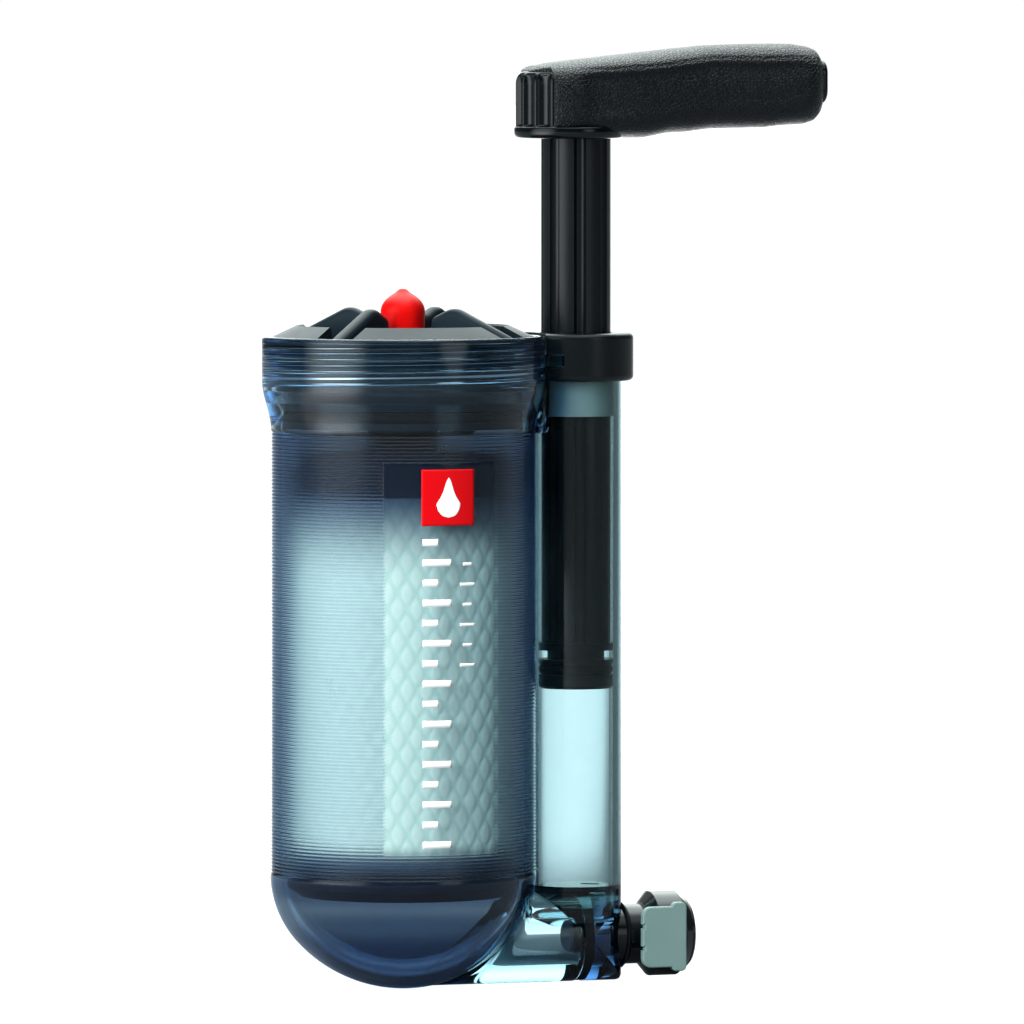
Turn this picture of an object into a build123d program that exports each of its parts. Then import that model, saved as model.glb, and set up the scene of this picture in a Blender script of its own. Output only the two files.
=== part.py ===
from build123d import *
import math
import os

os.makedirs("parts", exist_ok=True)

# Hand-pumped water filter, in millimetres, +Z up. The origin is on the filter housing's axis, half
# way up its grip, where a hand holds it. The pump stands beside the housing on +X.

# ---- Clearances ----
gap = 0.30          # between pieces that move past each other
run = 0.05          # radial running clearance of a shaft, ring or stem in its bore
seat = 0.10         # a closed valve disc above its seat

# ---- Filter housing ----
grip_r = 28.7
grip_half = 47.65
wall = 2.4
dome_depth = 25.2
haunch_r = dome_depth - 2.7         # arc beside the grip; the crown's arc meets it tangentially
flare_height = 10.7
collar_r = grip_r + 1.96
collar_edge = 0.8
collar_bore_r = collar_r - 2.26
land_height = 6.85          # sealing land above the grip
thread_pitch = 2.54
thread_turns = 3.0
thread_depth = 0.8
thread_base = 1.0
thread_crest = 0.6
thread_lead_in = 0.65       # below the first turn
thread_lead_out = 2.58      # above the last turn, where the lid's flange rests

crown_r = (grip_r**2 + dome_depth**2 - 2 * grip_r * haunch_r) / (2 * (dome_depth - haunch_r))
crown_z = -grip_half + crown_r - dome_depth
dome_join = -math.degrees(math.atan2(crown_r - dome_depth, grip_r - haunch_r))
dome_bottom = -grip_half - dome_depth
housing_bore_r = grip_r - wall
land_top = grip_half + land_height
thread_root_z = land_top + collar_bore_r - housing_bore_r
thread_start = thread_root_z + thread_base / 2 + thread_lead_in
thread_end = thread_start + thread_pitch * thread_turns
collar_base = grip_half + flare_height
collar_top = thread_end + thread_lead_out

# ---- Pump ----
barrel_r = 9.84
bore_r = barrel_r - 1.64
pump_x = grip_r + barrel_r + 0.96
barrel_top = collar_top - 4.3
lug_angles = (-131.0, 131.0)
lug_width = 3.6
lug_height = 2.3
lug_reach = barrel_r + 2.56
lug_root = 0.5
bridge_half_width = barrel_r - 4.24
bridge_bottom = grip_half - 1.0
bridge_top = barrel_top - 0.45

# ---- Base channel and valves ----
channel_z = dome_bottom + barrel_r + 0.36
barrel_floor = channel_z + barrel_r + 1.36
channel_r = 4.1
chamber_r = 4.5
base_corner = 1.8
seal_width = 1.9
seal_r = barrel_r - 0.14
seal_bore_r = 6.2
port_r = 2.2
port_x = pump_x + 3.3
valve_body_r = 3.6
valve_disc_r = 3.4
valve_disc_thick = 0.7
valve_stem_r = 1.0
valve_hole_r = 0.6
valve_hole_circle = 2.2
valve_holes = 6
transfer_lead = 2.3         # transfer valve's plate, ahead of the seal
transfer_stem = 3.2

# ---- Gland at the top of the barrel ----
gland_r = barrel_r + 2.66
gland_top = barrel_top + 4.7
gland_skirt = barrel_top - 5.7
gland_edge = 1.2
bush_bottom = barrel_top - 13.3
bush_flange = 0.95
bush_fit = 0.03             # radial, in the bore
rod_seal_height = 1.4
rod_seal_lip = 0.7          # beyond the bore's radius

# ---- Plunger ----
shaft_r = bore_r - 0.66
flutes = 8
flute_width = 2.6
flute_depth = 1.3
flute_phase = -12.6
piston_bottom = barrel_floor + 42.8
piston_top = piston_bottom + 9.8
piston_land = 1.0
piston_flange = 1.5
piston_chamfer = 0.6
ring_z = piston_bottom + 4.1
ring_section = 2.3

# ---- Handle, along +X from the pump axis ----
hub_r = 12.0
hub_shift = -1.6
hub_bottom = gland_top + 42.0
hub_top = hub_bottom + 15.25
shaft_top = hub_bottom + 8.65
hub_rim = 2.5
hub_inset = 0.5
hub_flutes = 9
hub_flute_width = 2.2
hub_flute_step = 21.0
grip_proud = 0.4
grip_front = -8.3           # where the grip's sides begin
grip_end = 56.4
grip_top = hub_bottom + 20.5
grip_bottom = hub_bottom + 2.95
grip_end_half = 10.0
spar_length = 44.0
spar_width = 9.0
spar_height = 8.0
plug_width = 9.0
plug_height = 9.5
plug_depth = 8.0
plug_proud = 0.4

# ---- Inlet coupling, along +X on the channel axis ----
neck_r = 6.5
neck_start = pump_x + 5.8
drum_r = 9.2
drum_start = neck_start + 10.9
drum_end = drum_start + 5.8
drum_back = 2.0
drum_front = 2.4
nose_r = 7.5
nose_end = drum_end + 2.7
nose_edge = 0.4
socket_r = 4.0
socket_depth = 10.0
socket_step = 1.7           # groove and slot beyond the socket's radius
flow_r = 2.2
valve_pocket = 1.7
valve_seat_r = neck_r - 1.5
latch_slot_start = drum_start + 2.0
latch_slot_width = 2.2
latch_slot_deep = socket_r + 2.6
latch_flat_y = -(drum_r - 2.3)
latch_travel = 1.3
tab_face_y = -(drum_r + 1.3)
tab_thick = 1.5
tab_start = drum_start - 4.9
tab_half_height = 6.6
tab_flange_half = 7.5
tab_flange_start = drum_start + 1.8
tab_end = drum_start + 5.2
tab_corner = 2.0
tab_notch = 0.9
spring_wire = 0.35
spring_r = 1.5
spring_turns = 3

# ---- Lid, outlet and cap ----
lid_ring_inner = collar_bore_r - 6.0
lid_ring_height = 2.3
lid_floor_top = collar_top - 2.15
lid_floor_thick = 2.4
fin_angles = (40.0, 130.0, 220.0, 310.0)
fin_thick = 3.5
fin_height = 8.6
fin_peak_r = 0.5893 * lid_ring_inner
fin_round = 1.5
fin_channel = 9.0
boss_r = 6.6
boss_top = lid_floor_top + 0.8
nipple_hole_r = 3.9
nipple_r = 3.0
barb_r = 3.85
outlet_r = 1.9
nipple_top = boss_top + 8.6
cap_r = 4.8
cap_bore_r = barb_r + 0.08
cap_top = boss_top + 11.55
cap_shoulder = boss_top + 6.5

# ---- Cartridge ----
cartridge_r = housing_bore_r - 1.3
cartridge_cap_base = grip_half - 13.5
cartridge_cap_height = 11.35
cartridge_neck_r = 7.6
cartridge_foot = -grip_half - 4.7
foot_height = 6.7
cap_lip = 1.8
sleeve_r = cartridge_r - 0.2
sleeve_wall = 0.4
pleat_r = sleeve_r - 0.8
pleats = 36
pleat_depth = 6.5
pleat_radial = 3.0          # radial thickness of the pleated medium
carbon_r = pleat_r - pleat_depth - pleat_radial - 0.7
core_r = 6.0
core_bore_r = 4.5
core_hole_r = 1.2
core_hole_rows = 7

pump_axis = Axis((pump_x, 0, 0), (0, 0, 1))
pump_profile = Plane(origin=(pump_x, 0, 0), x_dir=(1, 0, 0), z_dir=(0, -1, 0))
channel_axis = Axis((0, 0, channel_z), (1, 0, 0))
channel_profile = Plane(origin=(0, 0, channel_z), x_dir=(1, 0, 0), z_dir=(0, -1, 0))


def channel_plane(x):
    """A plane across the base channel at X, with its local X along +Y and its local Y along +Z."""
    return Plane(origin=(x, 0, channel_z), x_dir=(0, 1, 0), z_dir=(1, 0, 0))


def save(part, name):
    """Labels a finished piece and writes it to its own file."""
    part.label = name
    export_step(part, f"parts/{name}.step")


# ---------------------------------------------------------------- filter housing
# A helical ridge inside the collar, its root sunk into the wall.
with BuildPart() as collar_thread:
    with BuildLine():
        collar_helix = Helix(
            thread_pitch, thread_pitch * thread_turns, collar_bore_r, center=(0, 0, thread_start)
        )
    with BuildSketch(Plane(origin=collar_helix @ 0, x_dir=(1, 0, 0), z_dir=collar_helix % 0)):
        with BuildLine():
            Polyline(
                (0.4, -thread_base / 2 - 0.2),
                (0.4, thread_base / 2 + 0.2),
                (-thread_depth, thread_crest / 2),
                (-thread_depth, -thread_crest / 2),
                close=True,
            )
        make_face()
    sweep(path=collar_helix, is_frenet=True)

with BuildPart() as filter_housing:
    # Outside: two-arc dome, straight grip, S-shaped flare and a collar with a rounded rim.
    with BuildSketch(Plane.YZ):
        with BuildLine():
            crown = CenterArc((0, crown_z), crown_r, -90, 90 + dome_join)
            haunch = CenterArc((grip_r - haunch_r, -grip_half), haunch_r, dome_join, -dome_join)
            side = Line(haunch @ 1, (grip_r, grip_half))
            flare = Spline(side @ 1, (collar_r, collar_base), tangents=[(0, 1), (0, 1)])
            Polyline(
                flare @ 1,
                (collar_r, collar_top - collar_edge),
                (collar_r - 0.3 * collar_edge, collar_top - 0.3 * collar_edge),
                (collar_r - collar_edge, collar_top),
                (0, collar_top),
                crown @ 0,
            )
        make_face()
    revolve(axis=Axis.Z)
    # Left half of the base: a round tube from the dome to the black seal.
    with BuildSketch(channel_plane(grip_r / 2)):
        Circle(barrel_r)
    extrude(amount=pump_x - seal_width / 2 - grip_r / 2)
    # Bridge that ties the barrel to the collar.
    with BuildSketch(Plane.XY.offset(bridge_bottom)):
        with Locations(((grip_r + pump_x) / 2, 0)):
            Rectangle(pump_x - grip_r, 2 * bridge_half_width)
    extrude(amount=bridge_top - bridge_bottom)
    # Inside: the bowl, a sealing land, a short cone and the threaded bore of the collar.
    with BuildSketch(Plane.YZ):
        with BuildLine():
            bowl = CenterArc((0, crown_z), crown_r - wall, -90, 90 + dome_join)
            bowl_side = CenterArc(
                (grip_r - haunch_r, -grip_half), haunch_r - wall, dome_join, -dome_join
            )
            Polyline(
                bowl_side @ 1,
                (housing_bore_r, land_top),
                (collar_bore_r, thread_root_z),
                (collar_bore_r, collar_top + 1),
                (0, collar_top + 1),
                bowl @ 0,
            )
        make_face()
    revolve(axis=Axis.Z, mode=Mode.SUBTRACT)
    # The barrel stands in a round saddle in the collar and the bridge.
    with BuildSketch(Plane.XY.offset(bridge_bottom - 1)):
        with Locations((pump_x, 0)):
            Circle(barrel_r)
    extrude(amount=collar_top - bridge_bottom + 1, mode=Mode.SUBTRACT)
    # Flow channel from the bowl, and the pocket for the transfer valve.
    with BuildSketch(channel_plane(0)):
        Circle(channel_r)
    extrude(amount=pump_x - 2.5, mode=Mode.SUBTRACT)
    with BuildSketch(channel_plane(pump_x - 3)):
        Circle(valve_body_r + run)
    extrude(amount=3, mode=Mode.SUBTRACT)
    add(collar_thread.part)
save(filter_housing.part, "filter_housing")

# ---------------------------------------------------------------- pump barrel
with BuildPart() as pump_barrel:
    with BuildSketch(pump_profile):
        with BuildLine():
            Polyline(
                (0, channel_z + 3.5),
                (barrel_r, channel_z + 3.5),
                (barrel_r, barrel_top),
                (bore_r, barrel_top),
                (bore_r, barrel_floor),
                (0, barrel_floor),
                close=True,
            )
        make_face()
    revolve(axis=pump_axis)
    # The foot is a saddle on the base tube.
    with BuildSketch(channel_plane(0)):
        Circle(barrel_r)
    extrude(amount=pump_x + 2 * barrel_r, mode=Mode.SUBTRACT)
    # Port down into the valve chamber.
    with BuildSketch(Plane.XY.offset(channel_z)):
        with Locations((port_x, 0)):
            Circle(port_r)
    extrude(amount=barrel_floor - channel_z, mode=Mode.SUBTRACT)
    # Snap lugs that hold the gland cap.
    for angle in lug_angles:
        with BuildSketch(Plane.XY.offset(barrel_top - lug_height)):
            with Locations(Location((pump_x, 0), angle)):
                with Locations(((barrel_r - lug_root + lug_reach) / 2, 0)):
                    Rectangle(lug_reach - barrel_r + lug_root, lug_width)
        extrude(amount=lug_height)
save(pump_barrel.part, "pump_barrel")

# ---------------------------------------------------------------- base: inlet block and seal
with BuildPart() as inlet_block:
    with BuildSketch(channel_plane(pump_x + seal_width / 2)):
        Circle(barrel_r)
    extrude(amount=barrel_r)
    # The block ends flush with the barrel's round side, with a rounded lower corner.
    with BuildSketch(pump_profile):
        with BuildLine():
            Polyline(
                (0, channel_z - barrel_r),
                (barrel_r - base_corner, channel_z - barrel_r),
            )
            RadiusArc(
                (barrel_r - base_corner, channel_z - barrel_r),
                (barrel_r, channel_z - barrel_r + base_corner),
                -base_corner,
            )
            Polyline(
                (barrel_r, channel_z - barrel_r + base_corner),
                (barrel_r, channel_z + barrel_r),
                (0, channel_z + barrel_r),
                (0, channel_z - barrel_r),
            )
        make_face()
    revolve(axis=pump_axis, mode=Mode.INTERSECT)
    with BuildSketch(channel_plane(pump_x)):
        Circle(chamber_r)
    extrude(amount=neck_start - pump_x, mode=Mode.SUBTRACT)
    with BuildSketch(channel_plane(neck_start)):
        Circle(neck_r)
    extrude(amount=barrel_r, mode=Mode.SUBTRACT)
    with BuildSketch(Plane.XY.offset(channel_z)):
        with Locations((port_x, 0)):
            Circle(port_r)
    extrude(amount=barrel_r, mode=Mode.SUBTRACT)
save(inlet_block.part, "inlet_block")

with BuildPart() as channel_seal:
    with BuildSketch(channel_plane(pump_x - seal_width / 2)):
        Circle(seal_r)
        Circle(seal_bore_r, mode=Mode.SUBTRACT)
    extrude(amount=seal_width)
save(channel_seal.part, "channel_seal")

# ---------------------------------------------------------------- transfer valve, at the seal
transfer_face = pump_x - transfer_lead
with BuildPart() as transfer_valve_seat:
    with BuildSketch(channel_plane(transfer_face)):
        Circle(valve_body_r)
    extrude(amount=transfer_lead + seal_width)
    with BuildSketch(channel_plane(pump_x - seal_width / 2)):
        Circle(seal_bore_r)
    extrude(amount=seal_width)
    with BuildSketch(channel_plane(transfer_face)):
        Circle(valve_stem_r + run)
        with PolarLocations(valve_hole_circle, valve_holes):
            Circle(valve_hole_r)
    extrude(amount=transfer_lead + 2 * seal_width, mode=Mode.SUBTRACT)
save(transfer_valve_seat.part, "transfer_valve_seat")

with BuildPart() as transfer_valve_disc:
    with BuildSketch(channel_plane(transfer_face - seat - valve_disc_thick)):
        Circle(valve_disc_r)
    extrude(amount=valve_disc_thick)
    with BuildSketch(channel_plane(transfer_face - seat)):
        Circle(valve_stem_r)
    extrude(amount=transfer_stem)
save(transfer_valve_disc.part, "transfer_valve_disc")

# ---------------------------------------------------------------- inlet valve, in the neck's foot
with BuildPart() as inlet_valve_seat:
    with BuildSketch(channel_plane(neck_start)):
        Circle(valve_seat_r)
        Circle(valve_stem_r + run, mode=Mode.SUBTRACT)
        with PolarLocations(valve_hole_circle, valve_holes):
            Circle(valve_hole_r, mode=Mode.SUBTRACT)
    extrude(amount=valve_pocket)
save(inlet_valve_seat.part, "inlet_valve_seat")

with BuildPart() as inlet_valve_disc:
    with BuildSketch(channel_plane(neck_start - seat - valve_disc_thick)):
        Circle(valve_disc_r)
    extrude(amount=valve_disc_thick)
    with BuildSketch(channel_plane(neck_start - seat)):
        Circle(valve_stem_r)
    extrude(amount=valve_pocket)
save(inlet_valve_disc.part, "inlet_valve_disc")

# ---------------------------------------------------------------- gland
with BuildPart() as gland_cap:
    with BuildSketch(pump_profile):
        with BuildLine():
            Polyline(
                (shaft_r + gap, gland_top),
                (gland_r, gland_top),
                (gland_r, gland_skirt),
                (barrel_r, gland_skirt),
                (barrel_r, barrel_top + bush_flange),
                (bore_r + rod_seal_lip, barrel_top + bush_flange),
                (bore_r + rod_seal_lip, barrel_top + bush_flange + rod_seal_height),
                (shaft_r + gap, barrel_top + bush_flange + rod_seal_height),
                close=True,
            )
        make_face()
    revolve(axis=pump_axis)
    outer = edges().filter_by(GeomType.CIRCLE).sort_by(SortBy.RADIUS)[-2:]
    fillet(outer, gland_edge)
    # Cut back where the collar stands, slotted for the bridge, and windowed for the snap lugs.
    with BuildSketch(Plane.XY.offset(gland_skirt)):
        Circle(collar_r + gap)
    extrude(amount=gland_top - gland_skirt, mode=Mode.SUBTRACT)
    with BuildSketch(Plane.XY.offset(gland_skirt)):
        with Locations((pump_x - gland_r, 0)):
            Rectangle(gland_r, 2 * (bridge_half_width + gap))
    extrude(amount=bridge_top + gap - gland_skirt, mode=Mode.SUBTRACT)
    for angle in lug_angles:
        with BuildSketch(Plane.XY.offset(barrel_top - lug_height - gap)):
            with Locations(Location((pump_x, 0), angle)):
                with Locations((gland_r, 0)):
                    Rectangle(2 * (gland_r - barrel_r + lug_root), lug_width + 2 * gap)
        extrude(amount=lug_height + 2 * gap, mode=Mode.SUBTRACT)
save(gland_cap.part, "gland_cap")

with BuildPart() as guide_bush:
    with BuildSketch(pump_profile):
        with BuildLine():
            Polyline(
                (shaft_r + run, bush_bottom),
                (bore_r - bush_fit, bush_bottom),
                (bore_r - bush_fit, barrel_top),
                (barrel_r - run, barrel_top),
                (barrel_r - run, barrel_top + bush_flange),
                (shaft_r + run, barrel_top + bush_flange),
                close=True,
            )
        make_face()
    revolve(axis=pump_axis)
save(guide_bush.part, "guide_bush")

with BuildPart() as rod_seal:
    with BuildSketch(Plane.XY.offset(barrel_top + bush_flange)):
        with Locations((pump_x, 0)):
            Circle(bore_r + rod_seal_lip - run)
            Circle(shaft_r + run, mode=Mode.SUBTRACT)
    extrude(amount=rod_seal_height)
save(rod_seal.part, "rod_seal")

# ---------------------------------------------------------------- plunger
piston_r = bore_r - run
ring_r = piston_r - ring_section / 2
with BuildPart() as piston_oring:
    with BuildSketch(pump_profile):
        with Locations((ring_r, ring_z)):
            Circle(ring_section / 2)
    revolve(axis=pump_axis)
save(piston_oring.part, "piston_oring")

with BuildPart() as piston_head:
    groove_r = ring_r - ring_section / 2 - run
    groove_half = ring_section / 2 + run
    with BuildSketch(pump_profile):
        with BuildLine():
            Polyline(
                (0, piston_bottom),
                (piston_r - piston_chamfer, piston_bottom),
                (piston_r, piston_bottom + piston_chamfer),
                (piston_r, ring_z - groove_half),
                (groove_r, ring_z - groove_half),
                (groove_r, ring_z + groove_half),
                (piston_r, ring_z + groove_half),
                (piston_r, ring_z + groove_half + piston_land),
                (shaft_r - flute_depth, ring_z + groove_half + piston_land),
                (shaft_r - flute_depth, piston_top - piston_flange),
                (piston_r, piston_top - piston_flange),
                (piston_r, piston_top),
                (0, piston_top),
                close=True,
            )
        make_face()
    revolve(axis=pump_axis)
save(piston_head.part, "piston_head")

with BuildPart() as plunger_shaft:
    with BuildSketch(Plane.XY.offset(piston_top)):
        with Locations((pump_x, 0)):
            Circle(shaft_r)
            with PolarLocations(shaft_r, flutes, start_angle=flute_phase):
                Circle(flute_width / 2, mode=Mode.SUBTRACT)
    extrude(amount=shaft_top - piston_top)
save(plunger_shaft.part, "plunger_shaft")

# ---------------------------------------------------------------- handle
hub_x = pump_x + hub_shift
with BuildPart() as handle_hub:
    # Round fluted end with a smooth rim, and a spar that carries the grip.
    with BuildSketch(Plane.XY.offset(hub_bottom)):
        with Locations((hub_x, 0)):
            Circle(hub_r)
    extrude(amount=hub_rim)
    fillet(edges().group_by(Axis.Z)[0], 1.0)
    with BuildSketch(Plane.XY.offset(hub_bottom + hub_rim)):
        with Locations((hub_x, 0)):
            Circle(hub_r - hub_inset)
            with PolarLocations(hub_r, hub_flutes, start_angle=180 - (hub_flutes - 1) / 2 * hub_flute_step,
                                angular_range=(hub_flutes - 1) * hub_flute_step, endpoint=True):
                Circle(hub_flute_width / 2, mode=Mode.SUBTRACT)
    extrude(amount=hub_top - hub_bottom - hub_rim)
    with BuildSketch(Plane.XY.offset(hub_bottom + hub_rim + 2)):
        with Locations((pump_x + spar_length / 2, 0)):
            Rectangle(spar_length, spar_width)
    extrude(amount=spar_height)
    # Socket for the shaft.
    with BuildSketch(Plane.XY.offset(hub_bottom)):
        with Locations((pump_x, 0)):
            Circle(shaft_r)
    extrude(amount=shaft_top - hub_bottom, mode=Mode.SUBTRACT)
save(handle_hub.part, "handle_hub")

plug_z = (grip_top + grip_bottom) / 2 + 0.5
plug_start = pump_x + grip_end + plug_proud - plug_depth
with BuildPart() as handle_grip:
    # Side outline: a gently rising top, and an underside that steps up beyond the hub.
    with BuildSketch(Plane.XZ):
        with BuildLine():
            top = Spline(
                (hub_x - hub_r - grip_proud + 0.8, hub_top - 3.0),
                (hub_x - hub_r + 4.0, hub_top + 0.35),
                (pump_x, hub_top + 1.8),
                (pump_x + 14, grip_top - 1.9),
                (pump_x + 36, grip_top - 0.1),
                (pump_x + grip_end - 6, grip_top),
            )
            nose = Spline(
                top @ 1,
                (pump_x + grip_end, grip_top - 7),
                (pump_x + grip_end - 3, grip_bottom),
                tangents=[top % 1, (-1, -0.1)],
            )
            Polyline(
                nose @ 1,
                (pump_x + 42, grip_bottom - 0.6),
                (pump_x + 30, grip_bottom - 0.8),
                (pump_x + 25, grip_bottom - 1.5),
                (pump_x + 19.5, grip_bottom - 1.6),
                (pump_x + 15, hub_bottom + 0.2),
                (pump_x + grip_front, hub_bottom + 0.2),
                (pump_x + grip_front, hub_top - 3.0),
                top @ 0,
            )
        make_face()
    extrude(amount=2 * hub_r, both=True)
    # Plan outline: round over the hub, tapering to a rounded end.
    with BuildSketch(Plane.XY.offset(hub_bottom - 1)):
        with BuildLine():
            rear = CenterArc((hub_x, 0), hub_r + grip_proud, 90, 180)
            far = pump_x + grip_end + 0.1 - grip_end_half * 0.6
            Line(rear @ 1, (far, -grip_end_half))
            tip = ThreePointArc(
                (far, -grip_end_half), (pump_x + grip_end + 0.1, 0), (far, grip_end_half)
            )
            Line(tip @ 1, rear @ 0)
        make_face()
    extrude(amount=grip_top - hub_bottom + 3, mode=Mode.INTERSECT)
    with BuildSketch(Plane(origin=(plug_start, 0, plug_z), x_dir=(0, 1, 0), z_dir=(1, 0, 0))):
        RectangleRounded(plug_width, plug_height, 3.0)
    extrude(amount=2 * plug_depth, mode=Mode.SUBTRACT)
    add(handle_hub.part, mode=Mode.SUBTRACT)
    with BuildSketch(Plane.XY.offset(hub_bottom - 1)):
        with Locations((pump_x, 0)):
            Circle(shaft_r)
    extrude(amount=shaft_top - hub_bottom + 1, mode=Mode.SUBTRACT)
    # The hub's flutes stay open: the grip doesn't fill them.
    with BuildSketch(Plane.XY.offset(hub_bottom - 1)):
        with Locations((hub_x, 0)):
            Circle(hub_r)
    extrude(amount=hub_top - hub_bottom + 1, mode=Mode.SUBTRACT)
save(handle_grip.part, "handle_grip")

with BuildPart() as handle_end_plug:
    with BuildSketch(Plane(origin=(plug_start, 0, plug_z), x_dir=(0, 1, 0), z_dir=(1, 0, 0))):
        RectangleRounded(plug_width, plug_height, 3.0)
    extrude(amount=plug_depth)
    fillet(edges().group_by(Axis.X)[-1], 0.8)
save(handle_end_plug.part, "handle_end_plug")

# ---------------------------------------------------------------- inlet coupling
socket_end = nose_end - socket_depth
ring_groove_x = drum_start - 0.2
groove_half_width = 0.9
with BuildPart() as coupling_body:
    with BuildSketch(channel_profile):
        with BuildLine():
            Polyline(
                (neck_start, valve_seat_r),
                (neck_start, neck_r),
                (drum_start - drum_back - 0.4, neck_r),
                (drum_start - drum_back, neck_r + 0.4),
                (drum_start, drum_r),
                (drum_end, drum_r),
                (drum_end + drum_front - nose_edge, nose_r),
                (nose_end - nose_edge, nose_r),
                (nose_end, nose_r - nose_edge),
                (nose_end, socket_r + 0.5),
                (nose_end - 0.5, socket_r),
                (ring_groove_x + groove_half_width, socket_r),
                (ring_groove_x + groove_half_width, socket_r + socket_step),
                (ring_groove_x - groove_half_width, socket_r + socket_step),
                (ring_groove_x - groove_half_width, socket_r),
                (socket_end, socket_r),
                (socket_end, flow_r),
                (neck_start + valve_pocket + 1.0, flow_r),
                (neck_start + valve_pocket, flow_r + 1.0),
                (neck_start + valve_pocket, valve_seat_r),
                close=True,
            )
        make_face()
    revolve(axis=channel_axis)
    # Flat under the thumb tab.
    with BuildSketch(channel_plane(drum_start - drum_back - 2)):
        with Locations((latch_flat_y - drum_r, 0)):
            Rectangle(2 * drum_r, 3 * drum_r)
    extrude(amount=tab_end - drum_start + drum_back + 2 + gap, mode=Mode.SUBTRACT)
    # Slot that the latch plate slides in, open at the flat.
    with BuildSketch(channel_plane(latch_slot_start)):
        with Locations(((latch_flat_y + latch_slot_deep) / 2 - 1, 0)):
            Rectangle(latch_slot_deep - latch_flat_y + 2, 2 * (socket_r + socket_step))
    extrude(amount=latch_slot_width, mode=Mode.SUBTRACT)
save(coupling_body.part, "coupling_body")

with BuildPart() as coupling_seal:
    with BuildSketch(channel_profile):
        with BuildLine():
            Polyline(
                (barrel_r + pump_x, neck_r),
                (barrel_r + pump_x, neck_r + 0.9),
                (barrel_r + pump_x + 0.9, neck_r),
                close=True,
            )
        make_face()
    revolve(axis=channel_axis)
save(coupling_seal.part, "coupling_seal")

with BuildPart() as socket_oring:
    with BuildSketch(channel_profile):
        with Locations((ring_groove_x, socket_r + run + groove_half_width - 0.1)):
            Circle(groove_half_width - 0.1)
    revolve(axis=channel_axis)
save(socket_oring.part, "socket_oring")

# Thumb latch: a plate with a window round the socket, hung from a thumb tab. At rest the window sits
# towards the tab, so its far edge catches the groove of a hose insert.
plate_far = latch_slot_deep - gap - latch_travel
window_y = -latch_travel / 2 - 0.15
with BuildPart() as latch_plate:
    with BuildSketch(channel_plane(latch_slot_start + gap)):
        with Locations(((tab_face_y + 0.2 + plate_far) / 2, 0)):
            Rectangle(plate_far - tab_face_y - 0.2, 2 * (socket_r + socket_step - gap))
        with Locations((window_y, 0)):
            Circle(socket_r + 0.5, mode=Mode.SUBTRACT)
    extrude(amount=latch_slot_width - 2 * gap)
    with BuildSketch(Plane.XZ.offset(-tab_face_y - tab_thick)):
        with Locations(((tab_start + tab_end) / 2, channel_z)):
            RectangleRounded(tab_end - tab_start, 2 * tab_half_height, tab_corner)
        with Locations(((tab_flange_start + tab_end) / 2, channel_z)):
            RectangleRounded(tab_end - tab_flange_start, 2 * tab_flange_half, 1.2)
        # Notches either side of a small tongue on the inner edge.
        for side in (-1, 1):
            with Locations((tab_start, channel_z + side * 2.4)):
                Rectangle(tab_notch, tab_notch, mode=Mode.SUBTRACT)
    extrude(amount=tab_thick)
    fillet(faces().sort_by(Axis.Y)[0].edges(), 0.35)
save(latch_plate.part, "latch_plate")

spring_x = (tab_start + latch_slot_start) / 2
spring_back = tab_face_y + tab_thick
with BuildPart() as latch_spring:
    with BuildLine():
        coil = Helix(
            (latch_flat_y - spring_back - 2 * spring_wire) / spring_turns,
            latch_flat_y - spring_back - 2 * spring_wire,
            spring_r,
            center=(spring_x, spring_back + spring_wire, channel_z),
            direction=(0, 1, 0),
        )
    with BuildSketch(Plane(origin=coil @ 0, z_dir=coil % 0)):
        Circle(spring_wire)
    sweep(path=coil, is_frenet=True)
save(latch_spring.part, "latch_spring")

# ---------------------------------------------------------------- lid
lid_ring_r = collar_bore_r - gap
lid_thread_core = collar_bore_r - thread_depth - gap
lid_thread_start = thread_start + thread_pitch / 2
lid_turns = thread_turns - 0.5
lid_flange = thread_end + thread_base / 2 + 0.4
lid_land_r = housing_bore_r - gap
lid_bottom = land_top - 6.0
lid_groove_z = land_top - 3.0
lid_ring_section = 2.4
lid_ring_centre = housing_bore_r - bush_fit - lid_ring_section / 2
lid_groove_r = lid_ring_centre - lid_ring_section / 2 - run
lid_groove_half = lid_ring_section / 2 + 2 * run
skirt_inner = lid_groove_r - 1.3
cone_z = land_top + 0.12

with BuildPart() as lid_thread:
    with BuildLine():
        lid_helix = Helix(
            thread_pitch, thread_pitch * lid_turns, lid_thread_core, center=(0, 0, lid_thread_start)
        )
    with BuildSketch(Plane(origin=lid_helix @ 0, x_dir=(1, 0, 0), z_dir=lid_helix % 0)):
        with BuildLine():
            Polyline(
                (-0.4, -thread_base / 2 - 0.2),
                (-0.4, thread_base / 2 + 0.2),
                (thread_depth, thread_crest / 2),
                (thread_depth, -thread_crest / 2),
                close=True,
            )
        make_face()
    sweep(path=lid_helix, is_frenet=True)

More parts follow.
